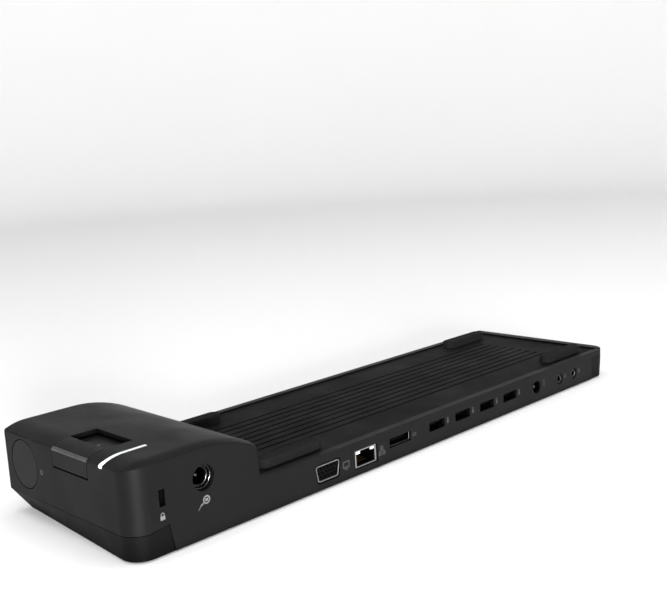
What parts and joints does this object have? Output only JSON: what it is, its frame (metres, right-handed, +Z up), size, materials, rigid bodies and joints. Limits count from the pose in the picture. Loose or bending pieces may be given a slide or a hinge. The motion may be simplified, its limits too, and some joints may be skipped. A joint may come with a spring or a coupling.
{
  "type": "laptop docking station",
  "caption": "Slim docking station: a low bar under the notebook, a tall end block with a sliding docking connector, a power button, and sockets along the rear face.",
  "frame": {"origin": "on the table, under the middle of the bounding box", "axes": "+X along the bar towards the tall block, +Y to the rear face with the sockets, +Z up"},
  "size_m": [0.3596, 0.1, 0.0421],
  "materials": {
    "casing_plastic": "fine moulded texture",
    "deck_plastic": "fine moulded texture",
    "lever_plastic": "smooth satin",
    "trim_metal": "satin",
    "button_plastic": "smooth satin",
    "mechanism_plastic": "moulded",
    "steel": "brushed",
    "socket_metal": "bright plated",
    "socket_plastic": "moulded",
    "contacts": "gold plated",
    "rubber": "matt",
    "light": "clear frosted",
    "board": "solder mask",
    "chips": "epoxy",
    "heat_sink": "satin",
    "lead": "flat flexible",
    "capacitor": "sleeved",
    "label": "blank"
  },
  "bodies": {
    "base": {"upper_casing": "casing_plastic", "lower_casing": "casing_plastic", "bay_deck": "deck_plastic", "deck_rests": "rubber", "guide_rails": "steel", "rail_bracket": "steel", "rail_clips": "steel", "detent_spring": "steel", "docking_lead": "lead", "button_switch": "socket_plastic", "button_board": "board", "button_bracket": "mechanism_plastic", "button_lead": "lead", "light_bar": "light", "light_lens": "light", "light_board": "board", "status_leds": "light", "lock_plate": "steel", "inlet_board": "board", "inlet_body": "socket_plastic", "inlet_rings": "socket_metal", "inlet_pin": "contacts", "video_shell": "socket_metal", "video_insert": "socket_plastic", "network_shield": "socket_metal", "network_insert": "socket_plastic", "network_lights": "light", "network_contacts": "contacts", "display_shell": "socket_metal", "display_insert": "socket_plastic", "usb_shells": "socket_metal", "usb_inserts": "socket_plastic", "usb_contacts": "contacts", "round_jack_body": "socket_plastic", "round_jack_pin": "socket_metal", "audio_jack_bodies": "socket_plastic", "audio_jack_rings": "socket_metal", "main_board": "board", "board_chips": "chips", "heat_spreader": "heat_sink", "board_capacitors": "capacitor", "ballast_plate": "steel", "rubber_feet": "rubber", "casing_screws": "steel", "label_plate": "label"},
    "dock_slide": {"dock_lever": "lever_plastic", "lever_trim": "trim_metal", "connector_carriage": "mechanism_plastic", "docking_connector": "socket_plastic", "docking_contacts": "contacts", "guide_pins": "steel", "carriage_screws": "steel"},
    "power_button": {"power_button": "button_plastic", "switch_plunger": "socket_plastic"}
  },
  "joints": [
    {"name": "lever_slide", "type": "slide", "parent": "base", "child": "dock_slide", "axis": [1, 0, 0], "range_m": [0, 0.009], "deforming": ["docking_lead"]},
    {"name": "power_press", "type": "slide", "parent": "base", "child": "power_button", "axis": [-1, 0, 0], "range_m": [0, 0.001], "stiffness_N_per_m": 1500, "springref_m": -0.0005}
  ]
}
